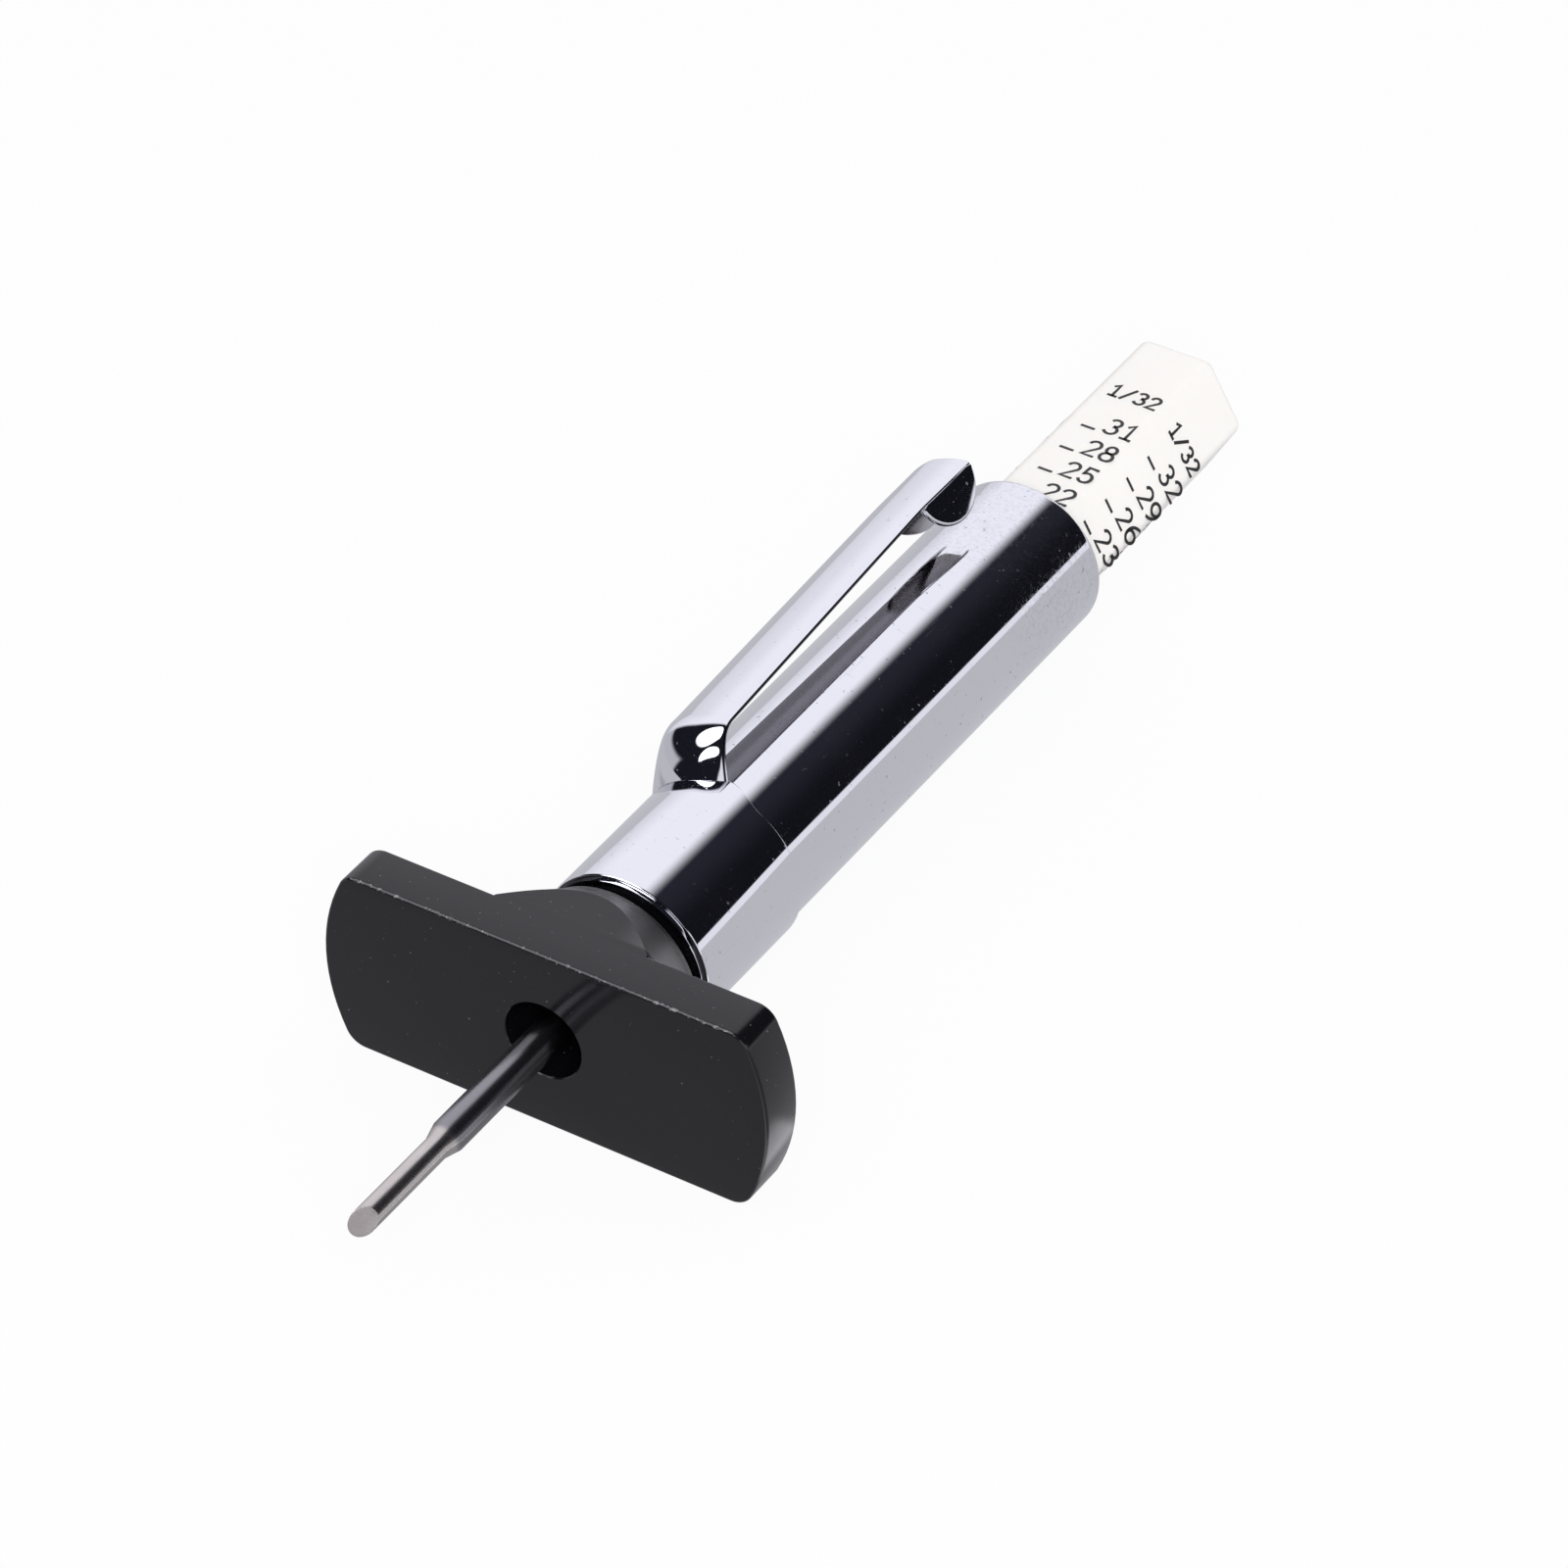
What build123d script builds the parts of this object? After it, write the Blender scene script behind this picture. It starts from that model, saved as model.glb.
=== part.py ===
from build123d import *
import os
from math import cos, radians, sin, sqrt

# A pocket depth gauge for tyre tread grooves, lying on the long side of its foot.
# The origin is where the probe's axis crosses the measuring face of the foot.
# +Y runs along the barrel towards the scale, +X along the foot, +Z up. Millimetres.

# Foot: the moulded crosspiece whose front face is laid on the tread
foot_length = 27.4
foot_depth = 11.5
foot_thickness = 2.9
foot_end_bulge = 1.5
foot_corner_round = 1.3
foot_edge_break = 0.2

# Hub: the flare behind the foot plate, cut flat by the foot's long sides
hub_base_radius = 7.4
hub_middle_radius = 6.25
hub_middle_height = 1.85
hub_top_radius = 5.15
hub_height = 4.1
hub_edge_round = 0.35
neck_radius = 4.05
neck_height = 0.95

# Plug: the part of the foot that is pressed into the barrel
plug_length = 9.9
plug_lead = 0.5
barb_pitch = 4.0
barb_depth = 0.15
barb_count = 1

# Probe hole in the foot: a wide mouth, then the guide that the probe slides in
mouth_radius = 2.35
mouth_depth = 6.2
mouth_cone = 1.0
guide_clearance = 0.08

# Barrel: a drawn tube whose rear end is rolled in
barrel_diameter = 9.7
barrel_wall = 0.4
barrel_length = 41.45
rim_round = 0.45
rim_lip = 0.17
rim_lip_depth = 0.5

# Pocket clip: a band round the barrel and a sprung arm from one sheet
sheet = 0.25
band_start = 0.2
band_length = 9.2
clip_turn = -24.0
crease_half_width = 2.25
root_length = 3.0
root_side_lag = 0.65
root_inset = 0.02
root_fullness = 2.5
root_stations = 3
arm_half_width = 2.05
arm_waist_near = 1.72
arm_waist_far = 1.66
tip_width_near = 1.88
tip_width_far = 1.25
arm_arch = 0.35
arm_root_lift = 2.35
arm_tip_lift = 3.3
arm_length = 28.2
tip_corner_round = 1.15
ear_length = 4.9
ear_depth_near = 1.9
ear_lean_near = 12.0
ear_depth_far = 2.7
ear_lean_far = -35.0
ear_setback_far = 0.6

# Scale bar: six printed faces, with a round head that stays in the barrel
bar_lip_clearance = 0.116
bar_corner_round = 0.7
bar_end_round = 0.45
bar_length = 34.8
head_length = 5.0
head_clearance = 0.06
head_lead = 0.3

# Friction ring: the rubber ring in the head's groove that holds a reading
ring_width = 1.0
ring_depth = 1.0
ring_clearance = 0.05
groove_floor_clearance = 0.06
groove_side_clearance = 0.2

# Probe: a stepped steel pin, pressed into the head of the bar
probe_radius = 0.975
probe_tip_radius = 0.7
probe_step_length = 1.1
probe_tip_length = 7.1
probe_bevel_length = 0.8
probe_point_radius = 0.42
probe_pressed_length = 9.0

# Reading in the position shown: how far the probe stands out of the foot
probe_reach = 16.9
overtravel = 0.35

# Places along the axis, worked out from the sizes above
hub_top = foot_thickness + hub_height
barrel_start = hub_top + neck_height - band_start
barrel_end = barrel_start + barrel_length
barrel_radius = barrel_diameter / 2
bore_radius = barrel_radius - barrel_wall
lip_radius = bore_radius - rim_lip
band_bottom = barrel_start + band_start
band_top = band_bottom + band_length
band_radius = barrel_radius + sheet
plug_end = barrel_start + plug_length
head_top = barrel_end - rim_lip_depth - probe_reach - overtravel
head_bottom = head_top - head_length
bar_corner_radius = lip_radius - bar_lip_clearance
bar_half_width = (bar_corner_radius - bar_corner_round) * cos(radians(30)) + bar_corner_round
probe_tip = -probe_reach

# Directions of the clip: across its arm, away from the barrel, and along the arm
clip_angle = radians(clip_turn)
clip_across = Vector(cos(clip_angle), 0, -sin(clip_angle))
clip_up = Vector(sin(clip_angle), 0, cos(clip_angle))
arm_along = Vector(0, 1, 0) + clip_up * ((arm_tip_lift - arm_root_lift) / (arm_length - root_length))


def across(y):
    """A plane square to the axis at y, with its second direction pointing up."""
    return Plane(origin=(0, y, 0), x_dir=(-1, 0, 0), z_dir=(0, 1, 0))


def across_clip(y):
    """The same plane turned so that its second direction points at the clip's arm."""
    return Plane(origin=(0, y, 0), x_dir=clip_across * -1, z_dir=(0, 1, 0))


def keep(piece, name):
    """Label a finished piece and write it."""
    piece.part.label = name
    export_step(piece.part, f"parts/{name}.step")


os.makedirs("parts", exist_ok=True)

# Foot with its hub, neck and plug, one moulding
half_depth = foot_depth / 2
half_length = foot_length / 2
half_chord = half_length - foot_end_bulge
hub_middle = foot_thickness + hub_middle_height
plug_radius = bore_radius
guide_radius = probe_radius + guide_clearance

with BuildPart() as foot:
    with BuildSketch(across(0)):
        with BuildLine():
            Line((-half_chord, half_depth), (half_chord, half_depth))
            ThreePointArc((half_chord, half_depth), (half_length, 0), (half_chord, -half_depth))
            Line((half_chord, -half_depth), (-half_chord, -half_depth))
            ThreePointArc((-half_chord, -half_depth), (-half_length, 0), (-half_chord, half_depth))
        make_face()
    extrude(amount=foot_thickness)
    fillet(foot.edges().filter_by(Axis.Y), foot_corner_round)
    chamfer(foot.faces().sort_by(Axis.Y)[0].outer_wire().edges(), foot_edge_break)
    chamfer(foot.faces().sort_by(Axis.Y)[-1].outer_wire().edges(), foot_edge_break)
    # The flare is a shallow hollow curve, turned about the axis
    with BuildSketch(Plane.XY):
        with BuildLine():
            Line((0, foot_thickness / 2), (hub_base_radius, foot_thickness / 2))
            Line((hub_base_radius, foot_thickness / 2), (hub_base_radius, foot_thickness))
            ThreePointArc(
                (hub_base_radius, foot_thickness),
                (hub_middle_radius, hub_middle),
                (hub_top_radius, hub_top - hub_edge_round),
            )
            Line((hub_top_radius, hub_top - hub_edge_round), (hub_top_radius - hub_edge_round, hub_top))
            Line((hub_top_radius - hub_edge_round, hub_top), (neck_radius, hub_top))
            Line((neck_radius, hub_top), (neck_radius, barrel_start))
            Line((neck_radius, barrel_start), (plug_radius, barrel_start))
            Line((plug_radius, barrel_start), (plug_radius, plug_end - plug_lead))
            Line((plug_radius, plug_end - plug_lead), (plug_radius - plug_lead, plug_end))
            Line((plug_radius - plug_lead, plug_end), (0, plug_end))
            Line((0, plug_end), (0, foot_thickness / 2))
        make_face()
    revolve(axis=Axis.Y)
    Box(2 * foot_length, 4 * plug_end, foot_depth, mode=Mode.INTERSECT)
    # Grooves round the plug leave the barbs that grip the barrel
    for barb in range(barb_count):
        barb_foot = barrel_start + barb_pitch * (barb + 0.5)
        with BuildSketch(Plane.XY):
            with BuildLine():
                Polyline(
                    (plug_radius, barb_foot),
                    (plug_radius - barb_depth, barb_foot),
                    (plug_radius, barb_foot + barb_pitch / 2),
                    (plug_radius, barb_foot),
                )
            make_face()
        revolve(axis=Axis.Y, mode=Mode.SUBTRACT)
    # The probe's hole
    with BuildSketch(Plane.XY):
        with BuildLine():
            Polyline(
                (0, -1),
                (mouth_radius, -1),
                (mouth_radius, mouth_depth),
                (guide_radius, mouth_depth + mouth_cone),
                (guide_radius, plug_end + 1),
                (0, plug_end + 1),
                (0, -1),
            )
        make_face()
    revolve(axis=Axis.Y, mode=Mode.SUBTRACT)
keep(foot, "foot")

# Barrel tube with its rolled-in rim
rim_curve = rim_round * (1 - sqrt(0.5))

with BuildPart() as barrel:
    with BuildSketch(Plane.XY):
        with BuildLine():
            Line((bore_radius, barrel_start), (barrel_radius, barrel_start))
            Line((barrel_radius, barrel_start), (barrel_radius, barrel_end - rim_round))
            ThreePointArc(
                (barrel_radius, barrel_end - rim_round),
                (barrel_radius - rim_curve, barrel_end - rim_curve),
                (barrel_radius - rim_round, barrel_end),
            )
            Line((barrel_radius - rim_round, barrel_end), (lip_radius, barrel_end))
            Line((lip_radius, barrel_end), (lip_radius, barrel_end - rim_lip_depth))
            Line((lip_radius, barrel_end - rim_lip_depth), (bore_radius, barrel_end - rim_lip_depth))
            Line((bore_radius, barrel_end - rim_lip_depth), (bore_radius, barrel_start))
        make_face()
    revolve(axis=Axis.Y)
keep(barrel, "barrel")

# Pocket clip: a steep root climbs from the band, and the arm runs straight on to its tip
arm_start = band_top + root_length
arm_end = band_top + arm_length
arm_waist = arm_end - ear_length
root_radius = band_radius - root_inset
crease_edge_height = sqrt(root_radius**2 - crease_half_width**2)
arm_edge_height = band_radius + arm_root_lift - arm_arch


def between(low, high, share):
    """The value a share of the way from low to high."""
    return low + (high - low) * share


def climb(low, high, start, y):
    """Height and slope at y of a curve that rises steeply from start and levels out at the arm."""
    run = arm_start - start
    left = min(1, (arm_start - y) / run)
    height = high - (high - low) * left**root_fullness
    slope = (high - low) / run * root_fullness * left ** (root_fullness - 1)
    return height, slope if left < 1 else 0


with BuildPart() as clip_arm:
    with BuildSketch(across_clip(arm_start)):
        with BuildLine():
            ThreePointArc(
                (-arm_half_width, arm_edge_height),
                (0, arm_edge_height + arm_arch),
                (arm_half_width, arm_edge_height),
            )
            Line((arm_half_width, arm_edge_height), (arm_half_width, arm_edge_height - sheet))
            ThreePointArc(
                (arm_half_width, arm_edge_height - sheet),
                (0, arm_edge_height + arm_arch - sheet),
                (-arm_half_width, arm_edge_height - sheet),
            )
            Line((-arm_half_width, arm_edge_height - sheet), (-arm_half_width, arm_edge_height))
        make_face()
    extrude(amount=arm_end - arm_start + sheet, dir=arm_along)
    # The arm narrows to a waist where its lobes begin, and the far corner of its tip is rounded
    corner = tip_corner_round * (1 - sqrt(0.5))
    with BuildSketch(Plane(origin=(0, 0, 0), x_dir=clip_across, z_dir=clip_up)):
        with BuildLine():
            Line((arm_half_width, arm_start), (arm_waist_near, arm_waist))
            Line((arm_waist_near, arm_waist), (tip_width_near, arm_end))
            Line((tip_width_near, arm_end), (tip_corner_round - tip_width_far, arm_end))
            ThreePointArc(
                (tip_corner_round - tip_width_far, arm_end),
                (corner - tip_width_far, arm_end - corner),
                (-tip_width_far, arm_end - tip_corner_round),
            )
            Line((-tip_width_far, arm_end - tip_corner_round), (-arm_waist_far, arm_waist))
            Line((-arm_waist_far, arm_waist), (-arm_half_width, arm_start))
            Line((-arm_half_width, arm_start), (arm_half_width, arm_start))
        make_face()
    extrude(amount=2 * band_radius, mode=Mode.INTERSECT)
    # The lobes at the tip are bent down towards the barrel
    tip_edge_height = band_radius + arm_tip_lift - arm_arch
    for side, waist, width, depth, lean, setback in (
        (1, arm_waist_near, tip_width_near, ear_depth_near, radians(ear_lean_near), 0),
        (-1, arm_waist_far, tip_width_far, ear_depth_far, radians(ear_lean_far), ear_setback_far),
    ):
        fold_along = arm_along + clip_across * (side * (width - waist) / ear_length)
        downward = clip_across * (side * sin(lean)) - clip_up * cos(lean)
        outward = downward.cross(fold_along) * side
        fold_height = tip_edge_height + arm_arch * (1 - ((width - sheet) / arm_half_width) ** 2)
        fold = clip_across * (side * (width - sheet)) + clip_up * (fold_height - sheet / 3)
        tip_point = fold + Vector(0, arm_end, 0) - fold_along * setback
        # The sketch's second direction points away from the barrel on one side only
        with BuildSketch(Plane(origin=tip_point, x_dir=fold_along, z_dir=outward)):
            with BuildLine():
                Line((-ear_length, 0), (0, 0))
                ThreePointArc((0, 0), (-ear_length / 2, -side * depth), (-ear_length, 0))
            make_face()
        extrude(amount=sheet)
    # The root's sides start to climb a little behind its middle
    for station in range(root_stations + 1):
        share = station / root_stations
        y = between(band_top, arm_start, share)
        half_width = between(crease_half_width, arm_half_width, share)
        crown, crown_slope = climb(root_radius, arm_edge_height + arm_arch, band_top, y)
        edge, edge_slope = climb(crease_edge_height, arm_edge_height, band_top + root_side_lag, y)
        inner_crown = crown - sheet * sqrt(1 + crown_slope**2)
        inner_edge = edge - sheet * sqrt(1 + edge_slope**2)
        with BuildSketch(across_clip(y)):
            with BuildLine():
                ThreePointArc((-half_width, edge), (0, crown), (half_width, edge))
                Line((half_width, edge), (half_width, inner_edge))
                ThreePointArc((half_width, inner_edge), (0, inner_crown), (-half_width, inner_edge))
                Line((-half_width, inner_edge), (-half_width, edge))
            make_face()
    loft()
    # The sheet never reaches into the tube that it is clipped round
    with BuildSketch(across(band_top)):
        Circle(barrel_radius + root_inset)
    extrude(amount=barrel_end - band_top, mode=Mode.SUBTRACT)

with BuildPart() as pocket_clip:
    with BuildSketch(Plane.XY):
        with BuildLine():
            Polyline(
                (barrel_radius, band_bottom),
                (band_radius, band_bottom),
                (band_radius, band_top),
                (barrel_radius, band_top),
                (barrel_radius, band_bottom),
            )
        make_face()
    revolve(axis=Axis.Y)
    add(clip_arm.part)
keep(pocket_clip, "pocket_clip")

# Scale bar with its round head
head_radius = bore_radius - head_clearance
ring_outer_radius = bore_radius - ring_clearance
groove_floor = ring_outer_radius - ring_depth - groove_floor_clearance
groove_width = ring_width + 2 * groove_side_clearance
groove_middle = head_bottom + head_length / 2

with BuildPart() as scale_bar:
    with BuildSketch(across(head_top)):
        RegularPolygon(radius=bar_half_width, side_count=6, major_radius=False)
    extrude(amount=bar_length)
    fillet(scale_bar.edges().filter_by(Axis.Y), bar_corner_round)
    fillet(scale_bar.faces().sort_by(Axis.Y)[-1].outer_wire().edges(), bar_end_round)
    with BuildSketch(Plane.XY):
        with BuildLine():
            Polyline(
                (0, head_bottom),
                (head_radius - head_lead, head_bottom),
                (head_radius, head_bottom + head_lead),
                (head_radius, groove_middle - groove_width / 2),
                (groove_floor, groove_middle - groove_width / 2),
                (groove_floor, groove_middle + groove_width / 2),
                (head_radius, groove_middle + groove_width / 2),
                (head_radius, head_top),
                (0, head_top),
                (0, head_bottom),
            )
        make_face()
    revolve(axis=Axis.Y)
    with BuildSketch(across(head_bottom)):
        Circle(probe_radius)
    extrude(amount=probe_pressed_length, mode=Mode.SUBTRACT)
keep(scale_bar, "scale_bar")

# Friction ring, a square ring
ring_bottom = groove_middle - ring_width / 2
ring_top = groove_middle + ring_width / 2
ring_inner_radius = ring_outer_radius - ring_depth

with BuildPart() as friction_ring:
    with BuildSketch(Plane.XY):
        with BuildLine():
            Polyline(
                (ring_outer_radius, ring_top),
                (ring_inner_radius, ring_top),
                (ring_inner_radius, ring_bottom),
                (ring_outer_radius, ring_bottom),
                (ring_outer_radius, ring_top),
            )
        make_face()
    revolve(axis=Axis.Y)
keep(friction_ring, "friction_ring")

# Probe pin: thick shank, swaged step, thin measuring end with a bevelled point
step_start = probe_tip + probe_tip_length
probe_end = head_bottom + probe_pressed_length

with BuildPart() as probe_pin:
    with BuildSketch(Plane.XY):
        with BuildLine():
            Polyline(
                (0, probe_tip),
                (probe_point_radius, probe_tip),
                (probe_tip_radius, probe_tip + probe_bevel_length),
                (probe_tip_radius, step_start),
                (probe_radius, step_start + probe_step_length),
                (probe_radius, probe_end),
                (0, probe_end),
                (0, probe_tip),
            )
        make_face()
    revolve(axis=Axis.Y)
keep(probe_pin, "probe_pin")
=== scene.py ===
from math import asin, atan2, cos, degrees, pi, radians, sin, sqrt

import bmesh
import bpy
from mathutils import Matrix, Vector


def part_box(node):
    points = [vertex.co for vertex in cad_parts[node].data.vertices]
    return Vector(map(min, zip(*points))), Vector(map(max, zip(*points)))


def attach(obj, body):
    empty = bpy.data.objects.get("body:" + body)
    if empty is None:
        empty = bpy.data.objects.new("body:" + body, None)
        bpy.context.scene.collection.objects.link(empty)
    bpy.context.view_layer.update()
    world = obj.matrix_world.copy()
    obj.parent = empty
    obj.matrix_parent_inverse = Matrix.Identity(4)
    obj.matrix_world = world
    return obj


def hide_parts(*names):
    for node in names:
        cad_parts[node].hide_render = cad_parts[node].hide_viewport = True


# A pocket depth gauge for tire tread grooves, lying on the long side of its foot.
# The origin is where the probe's axis crosses the measuring face, +Y runs along the barrel
# towards the scale, +X along the foot, +Z up. Sizes are in millimetres and angles in degrees,
# if nothing else is said. finish_mesh() turns a mesh into metres.

MM = 0.001

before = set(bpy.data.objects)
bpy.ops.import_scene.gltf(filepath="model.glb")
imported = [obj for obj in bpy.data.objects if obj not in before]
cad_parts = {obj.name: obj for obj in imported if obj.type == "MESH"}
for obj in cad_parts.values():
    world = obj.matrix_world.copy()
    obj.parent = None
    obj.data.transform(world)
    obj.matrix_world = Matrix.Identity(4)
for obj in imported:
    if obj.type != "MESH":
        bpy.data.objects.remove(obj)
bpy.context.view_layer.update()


def span(node, axis):
    """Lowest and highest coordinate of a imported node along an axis, in millimetres."""
    low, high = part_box(node)
    return low[axis] / MM, high[axis] / MM


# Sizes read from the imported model
foot_low, foot_high = span("foot", 0)
foot_length = foot_high - foot_low
floor_height, foot_top = span("foot", 2)
foot_depth = foot_top - floor_height
barrel_start, barrel_end = span("barrel", 1)
barrel_low, barrel_high = span("barrel", 0)
barrel_radius = (barrel_high - barrel_low) / 2
plug_end = span("foot", 1)[1]
band_start, arm_end = span("pocket_clip", 1)
head_start, bar_end = span("scale_bar", 1)
probe_tip, probe_end = span("probe_pin", 1)

# Foot and hub
foot_thickness = 2.9
foot_end_bulge = 1.5
foot_corner_round = 1.3
foot_edge_round = 0.2
hub_base_radius = 7.4
hub_middle_radius = 6.25
hub_middle_height = 1.85
hub_top_radius = 5.15
hub_height = 4.1
hub_edge_round = 0.35
neck_radius = 4.05
mouth_radius = 2.35
mouth_edge_wear = 0.06
mouth_depth = 6.2
mouth_cone = 1.0
guide_radius = 1.055
hole_overrun = 1.0

# Barrel
barrel_wall = 0.4
rim_round = 0.45
rim_lip = 0.17
rim_lip_depth = 0.5

# Pocket clip. "Near" is the side of the foot's right end and "far" the other one
sheet = 0.25
band_length = 9.2
band_swoop = 0.75
band_swoop_spread = 28.0
clip_turn = -24.0
crease_half_width = 2.25
root_length = 3.0
root_side_lag = 0.65
root_fullness = 2.5
arm_half_width = 2.05
arm_waist_near = 1.76
arm_waist_far = 1.66
tip_width_near = 2.0
tip_width_far = 1.25
arm_arch = 0.35
arm_flatness = 2.6
flank_flare = 0.75
arm_root_lift = 2.35
arm_tip_lift = 3.3
tip_run = 1.2
tip_round_near = 0.25
tip_round_far = 1.15
ear_length = 4.9
ear_rim_round = 0.2
ear_root = 0.12
ear_depth_near = 2.1
ear_lean_near = 12.0
ear_depth_far = 2.7
ear_lean_far = -35.0
ear_setback_far = 0.6
ear_sink = 0.12

# Scale bar, its head and the probe
bar_flat_to_flat = 7.4
bar_corner_round = 0.7
bar_end_round = 0.45
bar_root = 0.5
head_length = 5.0
head_radius = 4.39
head_lead = 0.3
groove_floor = 3.34
groove_width = 1.4
probe_radius = 0.975
probe_tip_radius = 0.7
probe_step_length = 1.1
probe_tip_length = 7.1
ground_slant = 1.1
ground_turn = 33.4
ground_edge = 0.04
ground_off = 0.5

# Printed scale: thirty-seconds of an inch on three faces and millimetres on the other three
inch_pitch = 25.4 / 32
first_inch_mark = 32.3
tick_length = 0.9
figure_height = 1.4
figure_advance = 1.05
figure_gap = 1.26
figure_offset = 0.75
heading_place = 60.8
heading_height = 1.1
heading_advance = 0.82
stroke_width = 0.2
ink_height = 0.005
ink_root = 0.02

# A turned solid's profile starts and ends this close to the axis
on_axis = 0.001

# Sizes and directions that follow from all these
hub_top = foot_thickness + hub_height
bore = barrel_radius - barrel_wall
band_radius = barrel_radius + sheet
band_end = band_start + band_length
arm_start = band_end + root_length
arm_waist = arm_end - ear_length
arm_rise = (arm_tip_lift - arm_root_lift) / (arm_end - arm_start)
clip_across = Vector((cos(radians(clip_turn)), 0, -sin(radians(clip_turn))))
clip_up = Vector((sin(radians(clip_turn)), 0, cos(radians(clip_turn))))
arm_along = Vector((0, 1, 0)) + clip_up * arm_rise
head_top = head_start + head_length
step_start = probe_tip + probe_tip_length
ground_middle = Vector((0, probe_tip + ground_slant / 2, 0))
ground_side = Vector((sin(radians(ground_turn)), 0, cos(radians(ground_turn))))
ground_facing = (ground_side * ground_slant - Vector((0, 2 * probe_tip_radius, 0))).normalized()


# Mesh helpers

def finish_mesh(bm, name, sharp_above=35.0, outward=True):
    """Turn a bmesh in millimetres into a linked object, smooth but for its sharp edges."""
    bmesh.ops.remove_doubles(bm, verts=bm.verts, dist=1e-5)
    if outward:
        bmesh.ops.recalc_face_normals(bm, faces=bm.faces)
    limit = radians(sharp_above)
    for edge in bm.edges:
        edge.smooth = edge.is_manifold and edge.calc_face_angle(pi) < limit
    for face in bm.faces:
        face.smooth = True
    bmesh.ops.scale(bm, vec=(MM, MM, MM), verts=bm.verts)
    mesh = bpy.data.meshes.new(name)
    bm.to_mesh(mesh)
    bm.free()
    piece = bpy.data.objects.new(name, mesh)
    bpy.context.scene.collection.objects.link(piece)
    return piece


def ring_tube(bm, rings, closed=True):
    """Skin rings of equal length. A closed skin joins the last ring to the first, an open one
    is capped at both ends."""
    rows = [[bm.verts.new(point) for point in ring] for ring in rings]
    followers = rows[1:] + rows[:1] if closed else rows[1:]
    for low, high in zip(rows, followers):
        count = len(low)
        for index in range(count):
            after = (index + 1) % count
            bm.faces.new((low[index], low[after], high[after], high[index]))
    if not closed:
        bm.faces.new(rows[0])
        bm.faces.new(list(reversed(rows[-1])))


def round_angles(segments):
    """Evenly spaced angles round the barrel's axis, in radians, from overhead towards +X."""
    return [2 * pi * k / segments for k in range(segments)]


def arc(centre, radius, start, end, steps):
    """Points of a circular arc in the (radius, y) plane, angles from +radius towards +y."""
    points = []
    for step in range(steps + 1):
        angle = radians(start + (end - start) * step / steps)
        points.append((centre[0] + radius * cos(angle), centre[1] + radius * sin(angle)))
    return points


def lathe(bm, profile, segments=192, closed=True):
    """Turn a (radius, y) profile about the barrel's axis. An open one is capped at both ends."""
    turns = round_angles(segments)
    rings = [[(radius * sin(a), y, radius * cos(a)) for a in turns] for radius, y in profile]
    ring_tube(bm, rings, closed)


def blend_between(low, high, share):
    """The value at a share of the way from low to high."""
    return low + (high - low) * share


def in_millimetres(mesh):
    """A bmesh in millimetres of a finished mesh."""
    bm = bmesh.new()
    bm.from_mesh(mesh)
    bmesh.ops.scale(bm, vec=(1 / MM, 1 / MM, 1 / MM), verts=bm.verts)
    return bm


def cut(target, tool, operation):
    """Apply an exact boolean to target and delete the tool."""
    modifier = target.modifiers.new("cut", "BOOLEAN")
    modifier.operation = operation
    modifier.solver = "EXACT"
    modifier.object = tool
    bake_modifiers(target)
    bpy.data.objects.remove(tool)


def bake_modifiers(piece):
    """Replace a piece's mesh by its evaluated mesh and drop the modifiers."""
    graph = bpy.context.evaluated_depsgraph_get()
    graph.update()
    mesh = bpy.data.meshes.new_from_object(piece.evaluated_get(graph))
    piece.modifiers.clear()
    piece.data = mesh
    mesh.name = piece.name


# Shader helpers

class Value:
    """A socket of a node tree that can be used in a Python expression."""

    def __init__(self, owner, socket):
        self.owner = owner
        self.socket = socket

    def combine(self, operation, first, second):
        return self.owner.node("ShaderNodeMath", {"operation": operation}, first, second)

    def __add__(self, other):
        return self.combine("ADD", self, other)

    def __radd__(self, other):
        return self.combine("ADD", other, self)

    def __sub__(self, other):
        return self.combine("SUBTRACT", self, other)

    def __rsub__(self, other):
        return self.combine("SUBTRACT", other, self)

    def __mul__(self, other):
        return self.combine("MULTIPLY", self, other)

    def above(self, edge, width):
        """A soft step: 0 below edge and 1 above edge + width."""
        smooth = {"interpolation_type": "SMOOTHSTEP"}
        return self.owner.node("ShaderNodeMapRange", smooth, self, edge, edge + width)


class Tree:
    """A node tree built by expressions. node() adds any node and returns one of its outputs."""

    def __init__(self, tree):
        self.tree = tree
        self.tree.nodes.clear()

    def node(self, kind, settings=None, *inputs, output=0, **named):
        made = self.tree.nodes.new(kind)
        for key, setting in (settings or {}).items():
            setattr(made, key, setting)
        for place, given in enumerate(inputs):
            self.join(made.inputs[place], given)
        for name, given in named.items():
            self.join(made.inputs[name.replace("_", " ")], given)
        return Value(self, made.outputs[output]) if len(made.outputs) else None

    def join(self, socket, given):
        if isinstance(given, Value):
            self.tree.links.new(given.socket, socket)
        elif given is not None:
            socket.default_value = given


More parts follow.
